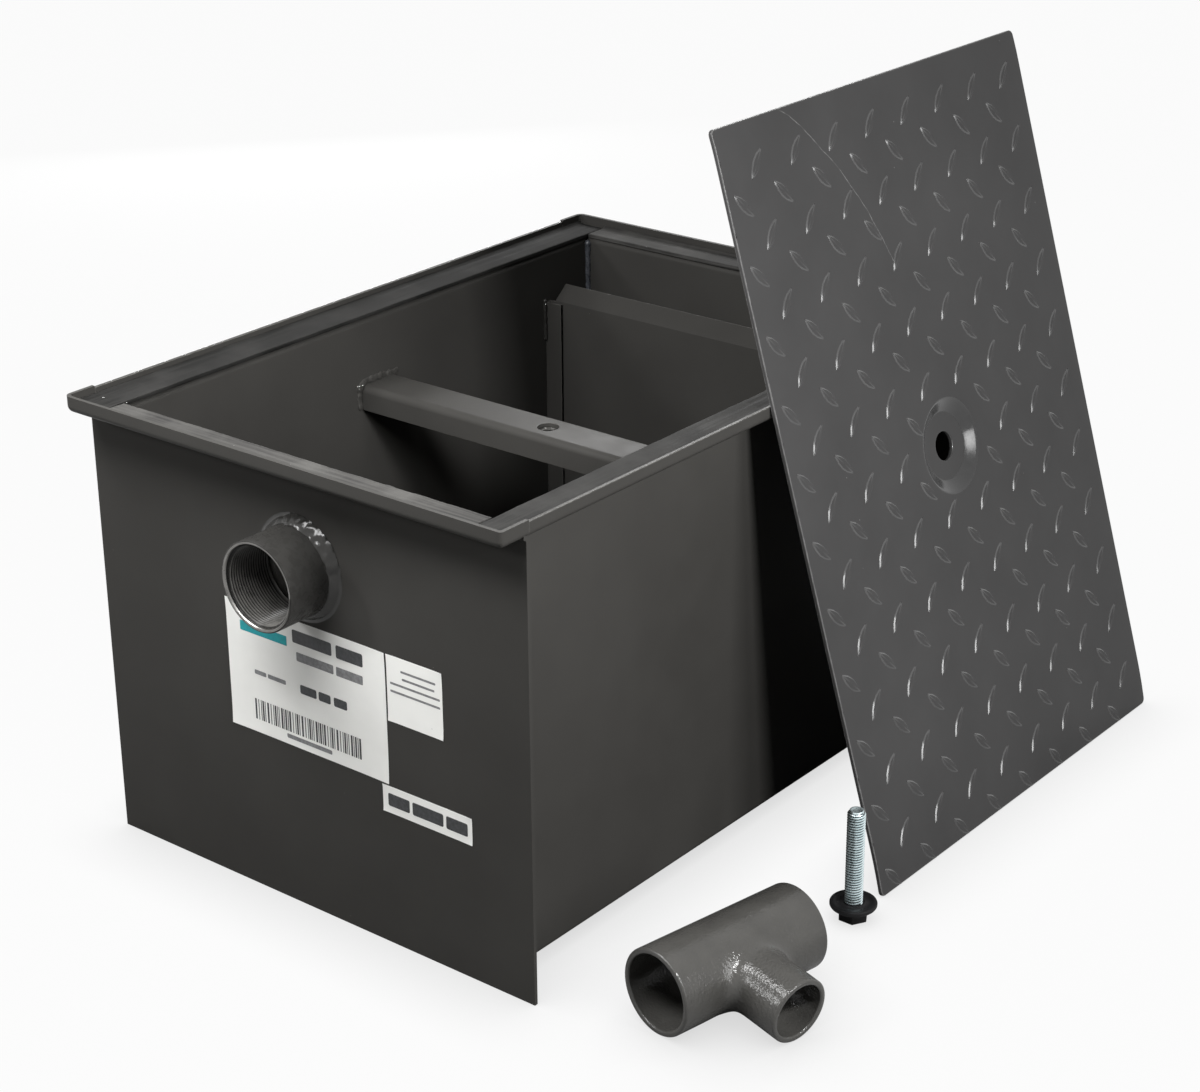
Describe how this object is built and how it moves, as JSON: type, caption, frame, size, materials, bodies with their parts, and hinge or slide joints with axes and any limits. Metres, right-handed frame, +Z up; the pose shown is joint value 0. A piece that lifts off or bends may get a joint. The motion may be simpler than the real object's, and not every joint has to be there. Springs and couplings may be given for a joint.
{
  "type": "grease trap",
  "caption": "Open sheet-steel grease trap tank with threaded inlet and outlet, lift-out baffles, gasketed rim, leaning tread-plate cover, cover bolt and flow-control tee.",
  "frame": {"origin": "middle of the outlet end plate's bottom edge, on the ground", "axes": "+X across the tank to the side the cover leans on, +Y from the outlet plate to the inlet plate, +Z up"},
  "size_m": [0.5532, 0.6748, 0.5206],
  "materials": {
    "tank_paint": "satin dark grey enamel",
    "cover_paint": "satin dark grey enamel on tread plate",
    "tee_paint": "gloss dark grey enamel",
    "gasket_rubber": "dusty matte",
    "washer_rubber": "satin black",
    "zinc": "bright zinc plate",
    "bare_steel": "plain",
    "label_paper": "matte white"
  },
  "bodies": {
    "tank": {"tank_shell": "tank_paint", "outlet_end_plate": "tank_paint", "inlet_end_plate": "tank_paint", "gasket_left": "gasket_rubber", "gasket_right": "gasket_rubber", "gasket_outlet": "gasket_rubber", "gasket_inlet": "gasket_rubber", "cross_bar": "tank_paint", "bar_nut": "zinc", "inlet_guide_left": "tank_paint", "inlet_guide_right": "tank_paint", "outlet_guide_left": "tank_paint", "outlet_guide_right": "tank_paint", "outlet_coupling": "tank_paint", "inlet_coupling": "tank_paint", "outlet_weld": "tank_paint", "inlet_weld": "tank_paint", "cover": "cover_paint", "cover_bolt": "zinc", "seal_washer": "washer_rubber", "flow_tee": "tee_paint", "flow_orifice": "bare_steel", "label_main": "label_paper", "label_side": "label_paper", "label_strip": "label_paper"},
    "inlet_baffle": {"inlet_baffle": "tank_paint"},
    "outlet_baffle": {"outlet_baffle": "tank_paint"}
  },
  "joints": [
    {"name": "inlet_baffle_lift", "type": "slide", "parent": "tank", "child": "inlet_baffle", "axis": [0, 0, 1], "range_m": [0, 0.14]},
    {"name": "outlet_baffle_lift", "type": "slide", "parent": "tank", "child": "outlet_baffle", "axis": [0, 0, 1], "range_m": [0, 0.33]}
  ]
}
